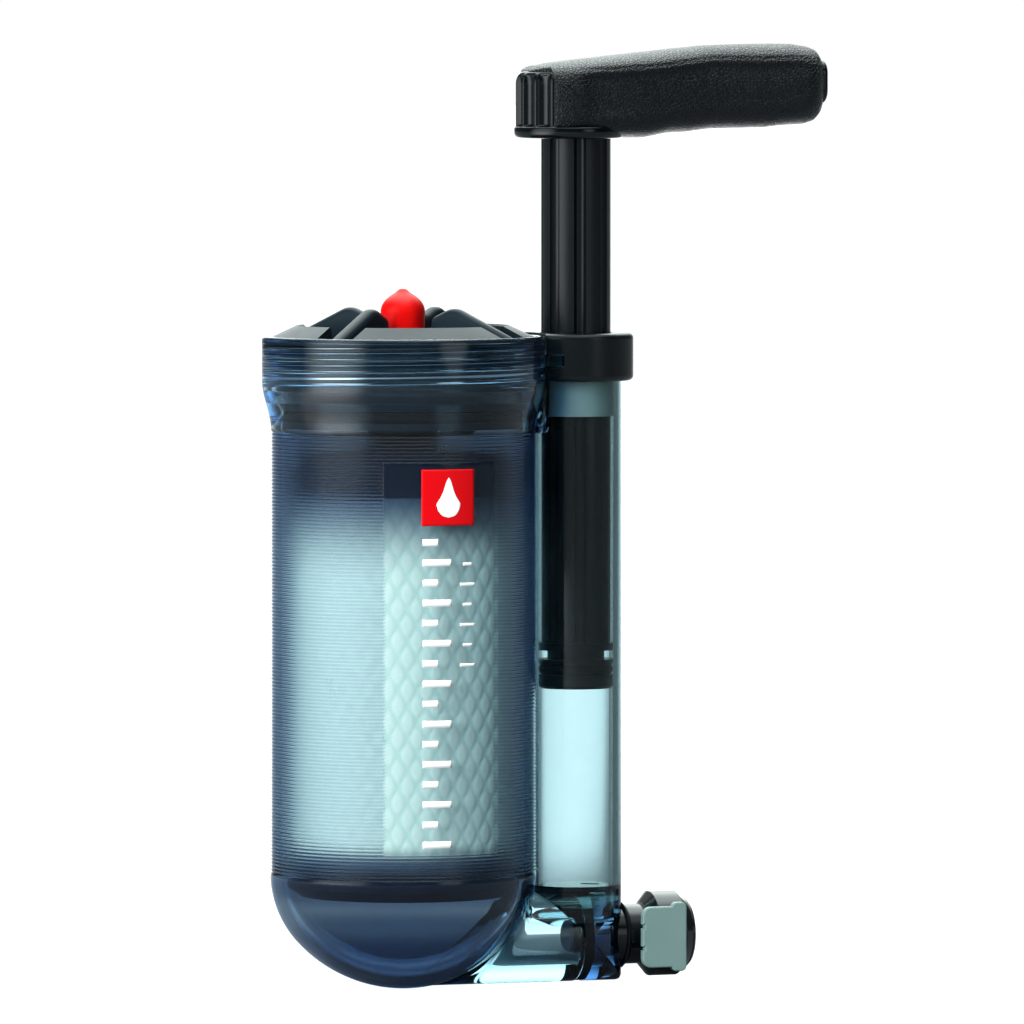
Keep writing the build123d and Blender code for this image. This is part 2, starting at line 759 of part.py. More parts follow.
# One arched fin on +X: a straight rise from the rim, a round crest, and a steep inner end.
with BuildPart() as fin:
    with BuildSketch(Plane.XZ.offset(-fin_thick / 2)):
        with BuildLine():
            FilletPolyline(
                (lid_ring_r - 0.4, lid_flange + 0.2),
                (lid_ring_r - 0.4, collar_top - 0.2),
                (fin_peak_r, lid_floor_top + fin_height),
                (boss_r + 1.2, lid_floor_top + fin_height * 0.72),
                (boss_r + 0.3, lid_floor_top - 0.8),
                radius=(0.6, 4.2, 2.0),
            )
            Polyline(
                (boss_r + 0.3, lid_floor_top - 0.8),
                (lid_ring_inner, lid_floor_top - 0.8),
                (lid_ring_inner, lid_flange + 0.2),
                (lid_ring_r - 0.4, lid_flange + 0.2),
            )
        make_face()
    extrude(amount=fin_thick)
    crest = [
        edge for edge in edges()
        if abs(abs(edge.center().Y) - fin_thick / 2) < 0.01 and edge.center().Z > collar_top - 0.3
    ]
    fillet(crest, fin_round)

with BuildPart() as lid:
    with BuildSketch(Plane.XZ):
        with BuildLine():
            Polyline(
                (nipple_hole_r, lid_floor_top - lid_floor_thick - 1.0),
                (nipple_hole_r, boss_top),
                (boss_r - 0.5, boss_top),
                (boss_r, boss_top - 0.5),
                (boss_r, lid_floor_top),
                (lid_ring_inner - 0.8, lid_floor_top),
                (lid_ring_inner, collar_top + lid_ring_height - 0.4),
                (lid_ring_inner + 0.5, collar_top + lid_ring_height),
                (lid_ring_r, collar_top - 0.1),
                (lid_ring_r, lid_flange),
                (lid_thread_core, lid_flange),
                (lid_thread_core, cone_z + lid_thread_core - lid_land_r),
                (lid_land_r, cone_z),
                (lid_land_r, lid_groove_z + lid_groove_half),
                (lid_groove_r, lid_groove_z + lid_groove_half),
                (lid_groove_r, lid_groove_z - lid_groove_half),
                (lid_land_r, lid_groove_z - lid_groove_half),
                (lid_land_r, lid_bottom),
                (skirt_inner, lid_bottom),
                (skirt_inner, cone_z),
                (lid_thread_core - 2.5, cone_z + 2.0),
                (lid_thread_core - 2.5, lid_floor_top - lid_floor_thick),
                (cartridge_neck_r + 2.4, lid_floor_top - lid_floor_thick),
                (cartridge_neck_r + 2.4, lid_bottom + 3),
                (cartridge_neck_r + run, lid_bottom + 3),
                (cartridge_neck_r + run, lid_floor_top - lid_floor_thick - 1.0),
                close=True,
            )
        make_face()
    revolve(axis=Axis.Z)
    # The raised ring is broken by a channel at each fin.
    with BuildSketch(Plane.XY.offset(collar_top - 0.5)):
        with PolarLocations((lid_ring_inner + lid_ring_r) / 2, len(fin_angles), start_angle=fin_angles[0]):
            Rectangle(lid_ring_r - lid_ring_inner + 4, fin_channel)
    extrude(amount=lid_ring_height + 1, mode=Mode.SUBTRACT)
    with PolarLocations(0, len(fin_angles), start_angle=fin_angles[0]):
        add(fin.part)
    add(lid_thread.part)
save(lid.part, "lid")

with BuildPart() as lid_oring:
    with BuildSketch(Plane.XZ):
        with Locations((lid_ring_centre, lid_groove_z)):
            Circle(lid_ring_section / 2)
    revolve(axis=Axis.Z)
save(lid_oring.part, "lid_oring")

# ---------------------------------------------------------------- outlet
stub_bottom = lid_floor_top - lid_floor_thick - 1.0
nipple_ring_z = boss_top - 2.0
nipple_ring_section = 1.2
with BuildPart() as outlet_nipple:
    with BuildSketch(Plane.XZ):
        with BuildLine():
            Polyline(
                (outlet_r, stub_bottom),
                (nipple_hole_r - run, stub_bottom),
                (nipple_hole_r - run, nipple_ring_z - 0.65),
                (nipple_hole_r - 1.25, nipple_ring_z - 0.65),
                (nipple_hole_r - 1.25, nipple_ring_z + 0.65),
                (nipple_hole_r - run, nipple_ring_z + 0.65),
                (nipple_hole_r - run, boss_top + 0.2),
                (nipple_r, boss_top + 0.6),
                (nipple_r, nipple_top - 5.6),
                (barb_r, nipple_top - 5.6),
                (nipple_r, nipple_top - 2.9),
                (barb_r - 0.1, nipple_top - 2.9),
                (nipple_r - 0.5, nipple_top),
                (outlet_r, nipple_top),
                close=True,
            )
        make_face()
    revolve(axis=Axis.Z)
save(outlet_nipple.part, "outlet_nipple")

with BuildPart() as nipple_oring:
    with BuildSketch(Plane.XZ):
        with Locations((nipple_hole_r - nipple_ring_section / 2 - 0.01, nipple_ring_z)):
            Circle(nipple_ring_section / 2)
    revolve(axis=Axis.Z)
save(nipple_oring.part, "nipple_oring")

with BuildPart() as outlet_cap:
    with BuildSketch(Plane.XZ):
        with BuildLine():
            skirt = Line((cap_r - 0.1, boss_top + gap), (cap_r, cap_shoulder))
            brow = Spline(
                skirt @ 1, (cap_r * 0.9, cap_shoulder + 1.85), (cap_r * 0.56, cap_top - 1.55),
                (cap_r * 0.25, cap_top - 0.5), (0, cap_top),
                tangents=[(0, 1), (-1, 0)],
            )
            Polyline(
                brow @ 1,
                (0, nipple_top + gap),
                (cap_bore_r - 1.2, nipple_top + gap),
                (cap_bore_r, nipple_top - 1.5),
                (cap_bore_r, boss_top + gap),
                skirt @ 0,
            )
        make_face()
    revolve(axis=Axis.Z)
save(outlet_cap.part, "outlet_cap")

# ---------------------------------------------------------------- cartridge
cap_top_z = cartridge_cap_base + cartridge_cap_height
element_bottom = cartridge_foot + foot_height - cap_lip
element_top = cartridge_cap_base + cap_lip
neck_top = stub_bottom - 0.4
neck_ring_section = 1.6
neck_ring_z = neck_top - 3.0
with BuildPart() as cartridge_top_cap:
    with BuildSketch(Plane.XZ):
        with BuildLine():
            Polyline(
                (outlet_r + 1, element_top),
                (sleeve_r + run, element_top),
                (sleeve_r + run, cartridge_cap_base),
                (cartridge_r, cartridge_cap_base),
                (cartridge_r, cap_top_z - 3.5),
                (cartridge_r - 2.5, cap_top_z - 1.2),
                (cartridge_neck_r + 4.0, cap_top_z),
                (cartridge_neck_r, cap_top_z),
                (cartridge_neck_r, neck_ring_z - 0.9),
                (cartridge_neck_r - neck_ring_section, neck_ring_z - 0.9),
                (cartridge_neck_r - neck_ring_section, neck_ring_z + 0.9),
                (cartridge_neck_r, neck_ring_z + 0.9),
                (cartridge_neck_r, neck_top),
                (outlet_r + 1, neck_top),
                close=True,
            )
        make_face()
    revolve(axis=Axis.Z)
save(cartridge_top_cap.part, "cartridge_top_cap")

with BuildPart() as cartridge_oring:
    with BuildSketch(Plane.XZ):
        with Locations((cartridge_neck_r + run - neck_ring_section / 2 - 0.01, neck_ring_z)):
            Circle(neck_ring_section / 2)
    revolve(axis=Axis.Z)
save(cartridge_oring.part, "cartridge_oring")

with BuildPart() as cartridge_bottom_cap:
    with BuildSketch(Plane.XZ):
        with BuildLine():
            Polyline(
                (0, cartridge_foot),
                (cartridge_r - 2.5, cartridge_foot),
                (cartridge_r, cartridge_foot + 2.0),
                (cartridge_r, cartridge_foot + foot_height),
                (sleeve_r + run, cartridge_foot + foot_height),
                (sleeve_r + run, element_bottom),
                (0, element_bottom),
                close=True,
            )
        make_face()
    revolve(axis=Axis.Z)
save(cartridge_bottom_cap.part, "cartridge_bottom_cap")

with BuildPart() as protector_sleeve:
    with BuildSketch(Plane.XY.offset(element_bottom)):
        Circle(sleeve_r)
        Circle(sleeve_r - sleeve_wall, mode=Mode.SUBTRACT)
    extrude(amount=element_top - element_bottom)
save(protector_sleeve.part, "protector_sleeve")


def star(outer_r):
    """The corners of a pleated ring's zigzag, its outer folds at outer_r."""
    corners = []
    for fold in range(2 * pleats):
        radius = outer_r - (fold % 2) * pleat_depth
        angle = math.pi * fold / pleats
        corners.append((radius * math.cos(angle), radius * math.sin(angle)))
    return corners


with BuildPart() as pleated_element:
    with BuildSketch(Plane.XY.offset(element_bottom)):
        Polygon(*star(pleat_r), align=None)
        Polygon(*star(pleat_r - pleat_radial), align=None, mode=Mode.SUBTRACT)
    extrude(amount=element_top - element_bottom)
save(pleated_element.part, "pleated_element")

with BuildPart() as carbon_core:
    with BuildSketch(Plane.XY.offset(element_bottom)):
        Circle(carbon_r)
        Circle(core_r, mode=Mode.SUBTRACT)
    extrude(amount=element_top - element_bottom)
save(carbon_core.part, "carbon_core")

with BuildPart() as core_tube:
    with BuildSketch(Plane.XY.offset(element_bottom)):
        Circle(core_r)
        Circle(core_bore_r, mode=Mode.SUBTRACT)
    extrude(amount=element_top - element_bottom)
    row_pitch = (element_top - element_bottom) / core_hole_rows
    for row in range(core_hole_rows):
        height = element_bottom + (row + 0.5) * row_pitch
        for across in (Plane.XZ, Plane.YZ):
            with BuildSketch(across):
                with Locations((0, height)):
                    Circle(core_hole_r)
            extrude(amount=2 * core_r, both=True, mode=Mode.SUBTRACT)
save(core_tube.part, "core_tube")
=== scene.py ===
import math

import bmesh
import bpy
import numpy as np
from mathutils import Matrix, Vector


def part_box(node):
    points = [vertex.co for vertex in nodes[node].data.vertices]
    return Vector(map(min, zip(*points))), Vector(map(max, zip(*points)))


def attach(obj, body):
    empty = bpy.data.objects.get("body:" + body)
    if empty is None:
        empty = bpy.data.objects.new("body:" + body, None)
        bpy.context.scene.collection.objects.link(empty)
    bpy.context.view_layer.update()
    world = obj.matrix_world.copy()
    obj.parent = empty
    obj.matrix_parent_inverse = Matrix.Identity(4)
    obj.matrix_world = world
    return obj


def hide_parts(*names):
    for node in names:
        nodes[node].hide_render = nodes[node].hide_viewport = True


# A hand-pumped water filter: clear smoke housing, pump beside it, black handle above.
# Lengths in the shape functions are millimetres, in the frame's own axes; meshes are metres.

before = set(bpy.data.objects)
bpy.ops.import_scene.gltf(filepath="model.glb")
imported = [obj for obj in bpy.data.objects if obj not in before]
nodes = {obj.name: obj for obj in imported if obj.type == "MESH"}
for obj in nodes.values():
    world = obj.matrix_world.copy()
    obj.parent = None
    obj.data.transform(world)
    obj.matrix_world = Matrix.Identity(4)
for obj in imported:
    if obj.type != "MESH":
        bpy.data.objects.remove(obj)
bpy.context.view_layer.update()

MM = 0.001

# ---- sizes shared with the solid model ----
GRIP_R = 28.7
GRIP_HALF = 47.65
WALL = 2.4
DOME_DEPTH = 25.2
HAUNCH_R = 22.5
COLLAR_R = 30.66
COLLAR_BASE = 58.35
COLLAR_TOP = 67.95
LAND_TOP = 54.5
COLLAR_BORE_R = 28.4
THREAD_PITCH = 2.54
THREAD_DEPTH = 0.8
PUMP_X = 39.5
BARREL_R = 9.84
CHANNEL_Z = -62.65
CHANNEL_R = 4.1
SEAL_X = 38.55
BRIDGE_HALF = 5.6
BRIDGE_BOTTOM = 46.65
BRIDGE_TOP = 63.2
SKIN_GAP = 0.02
BARREL_GAP = 0.03
CROWN_R = (GRIP_R**2 + DOME_DEPTH**2 - 2 * GRIP_R * HAUNCH_R) / (2 * (DOME_DEPTH - HAUNCH_R))
CROWN_Z = -GRIP_HALF + CROWN_R - DOME_DEPTH
DOME_JOIN = -math.atan2(CROWN_R - DOME_DEPTH, GRIP_R - HAUNCH_R)
FLOOR_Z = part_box("filter_housing")[0].z

# ---- the polished label window in the ribbed grip ----
WINDOW_CENTRE = math.radians(-90.0)
WINDOW_HALF = math.radians(26.8)
WINDOW_LOW = -42.0
WINDOW_HIGH = 41.5
RIB_COUNT = 125
RIB_PITCH = 2 * GRIP_HALF / RIB_COUNT
RIB_DEPTH = 0.28
RIB_ROWS = 5
DOME_ROWS = 20

# ---- the net's cells round the sleeve and along it ----
SLEEVE_R = 24.8
PAD_RISE = 0.15
NET_AROUND = 39
NET_RISE = 6.9

# ---- finishes ----
PEBBLE = 0.75
ACRYLIC_IOR = 1.49
# the dark end of the clear plastics' colour: a little of it gives the random swirl, most of it is painted
# shade
SWIRL_AND_PAINTED_SHADE_SMOKE = (0.28, 0.37, 0.52)

# ---- camera: the level three-quarter view, from a long way off ----
FRONT = -109.0
VIEW_AZIMUTH = math.radians(FRONT)
VIEW_DISTANCE = 2.1
CAMERA_Z = 0.127
AIM_Z = 0.030
AIM_ACROSS = 0.0235
LENS = 343.0


def set_camera():
    """Stands the camera off along the view azimuth, level with the handle, tilted to the aim point."""
    away = Vector((math.cos(VIEW_AZIMUTH), math.sin(VIEW_AZIMUTH), 0))
    across = Vector((-away.y, away.x, 0))
    aim = across * AIM_ACROSS + Vector((0, 0, AIM_Z))
    data = bpy.data.cameras.new("camera")
    data.lens = LENS
    data.sensor_width = 36.0
    data.clip_end = 100.0
    camera = bpy.data.objects.new("camera", data)
    bpy.context.scene.collection.objects.link(camera)
    camera.location = aim + away * VIEW_DISTANCE + Vector((0, 0, CAMERA_Z - AIM_Z))
    camera.rotation_euler = (aim - camera.location).to_track_quat("-Z", "Y").to_euler()
    bpy.context.scene.camera = camera


set_camera()


# ---------------------------------------------------------------- shader graphs
class Num:
    """A number in a material's graph. Sums on it add Math nodes."""

    def __init__(self, graph, socket):
        self.graph = graph
        self.socket = socket

    def __add__(self, other):
        return self.graph.maths("ADD", self, other)

    def __radd__(self, other):
        return self.graph.maths("ADD", other, self)

    def __sub__(self, other):
        return self.graph.maths("SUBTRACT", self, other)

    def __rsub__(self, other):
        return self.graph.maths("SUBTRACT", other, self)

    def __mul__(self, other):
        return self.graph.maths("MULTIPLY", self, other)

    def __rmul__(self, other):
        return self.graph.maths("MULTIPLY", other, self)

    def absolute(self):
        return self.graph.maths("ABSOLUTE", self)

    def step(self, low, high):
        """0 below low, 1 above high, eased between."""
        return self.graph.smooth(self, low, high)

    def fades(self, low, high):
        """1 below low, 0 above high, eased between."""
        return 1 - self.step(low, high)


class Graph:
    """The node tree of a material or of the world, and the few ways its nodes are made."""

    def __init__(self, owner):
        owner.use_nodes = True
        self.owner = owner
        self.tree = owner.node_tree
        self.tree.nodes.clear()

    def node(self, kind, settings=None, sockets=None):
        """A node of a kind: its settings first, then values or links for its sockets."""
        made = self.tree.nodes.new(kind)
        for key, value in (settings or {}).items():
            setattr(made, key, value)
        for key, value in (sockets or {}).items():
            socket = made.inputs[key]
            if isinstance(value, Num):
                value = value.socket
            if isinstance(value, bpy.types.NodeSocket):
                self.tree.links.new(value, socket)
            else:
                socket.default_value = value
        return made

    def maths(self, operation, *values):
        """One sum on numbers or sockets."""
        made = self.node("ShaderNodeMath", {"operation": operation}, dict(enumerate(values)))
        return Num(self, made.outputs[0])

    def smooth(self, value, low, high):
        """0 where value is below low and 1 where it is above high, eased between."""
        made = self.node(
            "ShaderNodeMapRange",
            {"interpolation_type": "SMOOTHSTEP"},
            {"Value": value, "From Min": low, "From Max": high},
        )
        return Num(self, made.outputs["Result"])

    def place(self):
        """Object coordinates, in metres."""
        return self.node("ShaderNodeTexCoord").outputs["Object"]

    def axes(self):
        """The three object coordinates, in millimetres."""
        scaled = self.node("ShaderNodeVectorMath", {"operation": "SCALE"},
                           {0: self.place(), "Scale": 1 / MM})
        split = self.node("ShaderNodeSeparateXYZ", None, {0: scaled.outputs[0]})
        return [Num(self, split.outputs[axis]) for axis in "XYZ"]

    def noise(self, size_mm, detail=3.0, roughness=0.55, stretch=(1, 1, 1)):
        """Cloudy noise whose features are about size_mm across, from 0 to 1."""
        scale = tuple(1 / MM / size_mm * share for share in stretch)
        mapped = self.node("ShaderNodeMapping", None, {"Vector": self.place(), "Scale": scale})
        made = self.node("ShaderNodeTexNoise", None,
                         {"Vector": mapped.outputs[0], "Scale": 1.0, "Detail": detail,
                          "Roughness": roughness})
        return Num(self, made.outputs["Fac"])

    def cells(self, size_mm, feature="F1"):
        """Distance within cells about size_mm across."""
        scale = (1 / MM / size_mm,) * 3
        mapped = self.node("ShaderNodeMapping", None, {"Vector": self.place(), "Scale": scale})
        made = self.node("ShaderNodeTexVoronoi", {"feature": feature},
                         {"Vector": mapped.outputs[0], "Scale": 1.0})
        return Num(self, made.outputs["Distance"])

    def blend(self, factor, first, second):
        """A colour between two, by a number from 0 to 1."""
        made = self.node("ShaderNodeMix", {"data_type": "RGBA"}, {"Factor": factor})
        for key, colour in ((6, first), (7, second)):
            if isinstance(colour, bpy.types.NodeSocket):
                self.tree.links.new(colour, made.inputs[key])
            else:
                made.inputs[key].default_value = (*colour, 1.0)
        return made.outputs[2]

    def bump(self, height, distance_mm):
        """How the surface leans where a height of 1 stands distance_mm proud."""
        made = self.node("ShaderNodeBump", None,
                         {"Height": height, "Distance": distance_mm * MM, "Strength": 1.0})
        return made.outputs["Normal"]

    def shader(self, **sockets):
        """A Principled surface; names use underscores for spaces."""
        return self.node("ShaderNodeBsdfPrincipled", None,
                         {key.replace("_", " "): value for key, value in sockets.items()})

    def finish(self, surface, volume=None):
        """Wires the surface, and the volume if there is one, to the output."""
        out = self.node("ShaderNodeOutputMaterial", None, {"Surface": surface})
        if volume is not None:
            self.tree.links.new(volume, out.inputs["Volume"])
        return self.owner


def new_finish(name):
    """The empty graph of a new material."""
    return Graph(bpy.data.materials.new(name))


def plastic(name, dark, light, roughness, grain=0.5, depth=0.01, specular=0.5):
    """Moulded plastic: a slow mottle between two colours, a fine grain, and handling marks in the gloss."""
    graph = new_finish(name)
    mottle = graph.noise(9.0)
    fine = graph.noise(grain, detail=4.0)
    marks = graph.noise(3.5, detail=5.0, roughness=0.7)
    surface = graph.shader(
        Base_Color=graph.blend(mottle, dark, light),
        Roughness=roughness + (marks - 0.5) * (0.35 * roughness) + (fine - 0.5) * (0.2 * roughness),
        Normal=graph.bump(fine, depth),
        Specular_IOR_Level=specular,
    )
    return graph.finish(surface.outputs[0])


def leather_grain(name, dark, light, roughness):
    """Soft black grip: small pebbled cells with creases between them, duller in the creases and darker
    there with painted shade.
    """
    graph = new_finish(name)
    pebbles = graph.cells(PEBBLE)
    crease = graph.cells(PEBBLE, "DISTANCE_TO_EDGE").step(0.0, 0.22)
    wrinkle = graph.noise(2.2, detail=5.0, roughness=0.6)
    height = crease * 0.7 + (1 - pebbles) * 0.3 + wrinkle * 0.5
    surface = graph.shader(
        # painted shade: the colour is darker in the creases
        Base_Color=graph.blend(crease, dark, light),
        Roughness=roughness + (1 - crease) * 0.15 + (wrinkle - 0.5) * 0.15,
        Normal=graph.bump(height, 0.13),
        Specular_IOR_Level=0.5,
    )
    return graph.finish(surface.outputs[0])


def rubber(name, dark, light, roughness=0.6):
    """Moulded rubber: matt, faintly dusty, with a very fine skin."""
    graph = new_finish(name)
    bloom = graph.noise(4.0, detail=5.0, roughness=0.65)
    skin = graph.noise(0.35, detail=3.0)
    surface = graph.shader(
        Base_Color=graph.blend(bloom.step(0.35, 0.75), dark, light),
        Roughness=roughness + (bloom - 0.5) * 0.2,
        Normal=graph.bump(skin, 0.015),
        Specular_IOR_Level=0.25,
    )
    return graph.finish(surface.outputs[0])


def clear_plastic(name, tint, colour, density, roughness, frost=0.0):
    """Clear moulded plastic with its own depth of colour: darker where more of it is in the way.
    Lamps pass straight through it, so what is inside stays lit. With frost, the bore behind the ribbed
    grip is dull and the label window polished; painted shade deepens the colour in the grooves between
    ribs, at the top of the grip and over the dome, and the dome carries one paler band of painted light.
    dome are deeper in colour, and the dome carries one paler band."""
    graph = new_finish(name)
    swirl = graph.noise(6.0, detail=4.0)
    fine = graph.noise(0.9, detail=3.0)
    shade = swirl * 0.04 + 0.96
    if frost:
        x, y, z = graph.axes()
        turn = (graph.maths("ARCTAN2", y, x) - WINDOW_CENTRE).absolute()
        upright = z.step(WINDOW_LOW - 0.3, WINDOW_LOW) * z.fades(WINDOW_HIGH, WINDOW_HIGH + 0.3)
        window = turn.fades(WINDOW_HALF - 0.01, WINDOW_HALF) * upright
        ribbed = z.absolute().fades(GRIP_HALF - 0.5, GRIP_HALF + 0.5) * (1 - window)
        inside = graph.maths("SQRT", x * x + y * y).fades(GRIP_R - 1.3, GRIP_R - 0.8)
        roughness = roughness + ribbed * inside * frost
        # painted shade: the colour is darker in the grooves between the ribs
        groove = (1 - graph.maths("COSINE", (z + GRIP_HALF) * (2 * math.pi / RIB_PITCH))) * 0.5
        # painted shade: the colour deepens toward the top of the grip, under the collar
        top = z.step(22.0, 40.0) * z.fades(GRIP_HALF, GRIP_HALF + 1.0)
        # painted light: a paler band across the upper dome
        dome_painted_light_band = z.step(-62.0, -57.5) * z.fades(-54.5, -51.5) * 0.65
        shade = shade * (1 - ribbed * groove * 0.75) * (1 - top * 0.75)
        # painted shade: below the grip the dome takes the dark colour, save for the painted band of light
        shade = shade * (z.step(-GRIP_HALF - 1.5, -GRIP_HALF) + dome_painted_light_band)
    surface = graph.shader(
        Base_Color=graph.blend(shade, SWIRL_AND_PAINTED_SHADE_SMOKE, tint),
        Roughness=roughness + (swirl - 0.5) * 0.03,
        Normal=graph.bump(swirl * 0.8 + fine * 0.2, 0.004),
        IOR=ACRYLIC_IOR,
        Transmission_Weight=1.0,
    )
    through = graph.node("ShaderNodeBsdfTransparent", None, {"Color": (*tint, 1.0)})
    rays = graph.node("ShaderNodeLightPath")
    mixed = graph.node("ShaderNodeMixShader", None, {
        0: rays.outputs["Is Shadow Ray"], 1: surface.outputs[0], 2: through.outputs[0]})
    soak = graph.node("ShaderNodeVolumeAbsorption", None,
                      {"Color": (*colour, 1.0), "Density": density})
    return graph.finish(mixed.outputs[0], soak.outputs[0])


def net_cloth(name):
    """White protector net over the filter medium: the swollen pads are paler than the strands between
    them, and painted shade darkens the cloth toward the end caps that cover it."""
    graph = new_finish(name)
    x, y, z = graph.axes()
    around = graph.maths("ARCTAN2", y, x) * (NET_AROUND / 2)
    climb = z * (math.pi / NET_RISE)
    left = graph.maths("SINE", around + climb).absolute()
    right = graph.maths("SINE", around - climb).absolute()
    pad = (left * right).step(0.0, 0.55)
    shade = graph.noise(12.0)
    weave = graph.noise(0.3, detail=2.0)
    cloth = graph.blend(pad * (0.75 + shade * 0.5), (0.84, 0.91, 0.71), (1.0, 1.0, 0.78))
    # painted shade: the cloth goes near-black toward both end caps
    clear_of_painted_shade = z.fades(15.0, GRIP_HALF - 11.5) * z.step(3.5 - GRIP_HALF, 8.0 - GRIP_HALF)
    surface = graph.shader(
        Base_Color=graph.blend(clear_of_painted_shade, (0.05, 0.08, 0.12), cloth),
        Roughness=0.55 + (weave - 0.5) * 0.3,
        Normal=graph.bump(weave, 0.03),
    )
    return graph.finish(surface.outputs[0])


def steel(name):
    """Drawn spring wire: bright metal with fine draw lines."""
    graph = new_finish(name)
    lines = graph.noise(0.2, detail=2.0, stretch=(1, 1, 0.1))
    surface = graph.shader(
        Base_Color=graph.blend(lines, (0.50, 0.50, 0.48), (0.68, 0.68, 0.66)),
        Metallic=1.0,
        Roughness=0.25 + lines * 0.15,
        Normal=graph.bump(lines, 0.01),
    )
    return graph.finish(surface.outputs[0])


def ink(name, colour):
    """Screen-printed ink: even colour with faint pinholes and an uneven gloss."""
    graph = new_finish(name)
    holes = graph.noise(0.25, detail=2.0)
    surface = graph.shader(
        Base_Color=graph.blend(holes, colour, tuple(c * 0.93 for c in colour)),
        Roughness=0.35 + (holes - 0.5) * 0.1,
        Specular_IOR_Level=0.2,
        Normal=graph.bump(holes, 0.006),
    )
    return graph.finish(surface.outputs[0])


finishes = {
    "smoke": clear_plastic("clear_smoke", (0.965, 0.982, 0.985), (0.30, 0.60, 0.80), 200.0, 0.02, 0.26),
    "clear": clear_plastic("clear_barrel", (0.985, 0.995, 0.995), (0.06, 0.33, 0.37), 440.0, 0.02),
    "base": clear_plastic("clear_base", (0.95, 0.98, 0.99), (0.30, 0.62, 0.72), 110.0, 0.04),
    "milky": plastic("milky_plastic", (0.80, 0.92, 0.88), (0.90, 0.98, 0.93), 0.45, specular=0.3),
    "black": plastic("black_plastic", (0.0010, 0.0024, 0.0036), (0.0022, 0.0040, 0.0056), 0.30),
    "lid": plastic("lid_black", (0.005, 0.011, 0.016), (0.010, 0.018, 0.024), 0.34, specular=0.12),
    "gloss": plastic("black_gloss", (0.0006, 0.0016, 0.0024), (0.0014, 0.0026, 0.0036), 0.14),
    "grain": leather_grain("black_grain", (0.0004, 0.0012, 0.0020), (0.0012, 0.0024, 0.0036), 0.32),
    "rubber": rubber("black_rubber", (0.004, 0.005, 0.006), (0.009, 0.011, 0.012)),
    "valve": rubber("valve_rubber", (0.05, 0.07, 0.09), (0.08, 0.10, 0.12)),
    "latch": plastic("grey_latch", (0.14, 0.23, 0.22), (0.17, 0.27, 0.26), 0.38, 0.4, 0.015),
    "steel": steel("spring_steel"),
    "red": rubber("red_rubber", (0.52, 0.001, 0.001), (0.62, 0.002, 0.001), 0.42),
    "cartridge": plastic("cartridge_plastic", (0.004, 0.008, 0.018), (0.008, 0.014, 0.028), 0.4),
    "net": net_cloth("pale_net"),
    "medium": rubber("pleat_medium", (0.55, 0.62, 0.60), (0.68, 0.74, 0.72), 0.8),
    "carbon": rubber("carbon", (0.006, 0.006, 0.007), (0.012, 0.012, 0.013), 0.85),
    "red_ink": ink("red_ink", (0.62, 0.001, 0.004)),
    "white_ink": ink("white_ink", (0.95, 0.96, 0.96)),
}

node_finish = {
    "pump_barrel": "clear", "inlet_block": "smoke", "filter_housing": "smoke",
    "channel_seal": "rubber", "transfer_valve_seat": "black", "transfer_valve_disc": "valve",
    "inlet_valve_seat": "black", "inlet_valve_disc": "valve", "gland_cap": "black",
    "guide_bush": "milky", "rod_seal": "rubber", "coupling_body": "gloss", "coupling_seal": "rubber",
    "socket_oring": "rubber", "latch_plate": "latch", "latch_spring": "steel",
    "piston_oring": "rubber", "piston_head": "black", "plunger_shaft": "black",
    "handle_hub": "gloss", "handle_grip": "grain", "handle_end_plug": "gloss", "lid": "lid",
    "lid_oring": "rubber", "outlet_nipple": "black", "nipple_oring": "rubber", "outlet_cap": "red",
    "cartridge_top_cap": "cartridge", "cartridge_bottom_cap": "cartridge",
    "cartridge_oring": "rubber", "protector_sleeve": "net", "pleated_element": "medium",
    "carbon_core": "carbon", "core_tube": "black",
}
for node_name, finish_name in node_finish.items():
    for index in range(max(1, len(nodes[node_name].material_slots))):
        nodes[node_name].material_slots[index].material = finishes[finish_name]


# ---------------------------------------------------------------- surfaces
def ease(t):
    """A smooth step from 0 to 1 as t goes from 0 to 1."""
    t = np.clip(t, 0.0, 1.0)
    return t * t * (3 - 2 * t)


def surface(name, points, finish, closed_rows=False):
    """A mesh over a grid of points in millimetres, shaped (rows, columns, 3). Columns wrap round;
    rows wrap too when closed_rows is set. A row drawn in to one point closes an end."""
    rows, columns, _ = points.shape
    last = rows if closed_rows else rows - 1
    down = np.arange(last)[:, None]
    across = np.arange(columns)[None, :]
    below = (down + 1) % rows
    beside = (across + 1) % columns
    corners = np.stack(
        (down * columns + across, down * columns + beside,
         below * columns + beside, below * columns + across), axis=-1
    ).reshape(-1, 4)
    mesh = bpy.data.meshes.new(name)
    mesh.from_pydata((points.reshape(-1, 3) * MM).tolist(), [], corners.tolist())
    joined = bmesh.new()
    joined.from_mesh(mesh)
    bmesh.ops.remove_doubles(joined, verts=joined.verts, dist=2e-6)
    bmesh.ops.recalc_face_normals(joined, faces=joined.faces)
    joined.to_mesh(mesh)
    joined.free()
    mesh.polygons.foreach_set("use_smooth", np.full(len(mesh.polygons), True))
    mesh.materials.append(finishes[finish])
    piece = bpy.data.objects.new(name, mesh)
    bpy.context.scene.collection.objects.link(piece)
    return piece


def arc(centre_r, centre_z, radius, start, end, count):
    """Points (r, z) on an arc, angles in radians."""
    angle = np.linspace(start, end, count)
    return np.stack((centre_r + radius * np.cos(angle), centre_z + radius * np.sin(angle)), axis=-1)


def dome(inset):
    """The two-arc dome from its pole up to the grip, set in from the outside by inset."""
    crown = arc(0, CROWN_Z, CROWN_R - inset, -math.pi / 2, DOME_JOIN, DOME_ROWS)
    haunch = arc(GRIP_R - HAUNCH_R, -GRIP_HALF, HAUNCH_R - inset, DOME_JOIN, 0, DOME_ROWS)
    crown[0, 0] = 0.0
    return np.concatenate((crown, haunch[1:]))


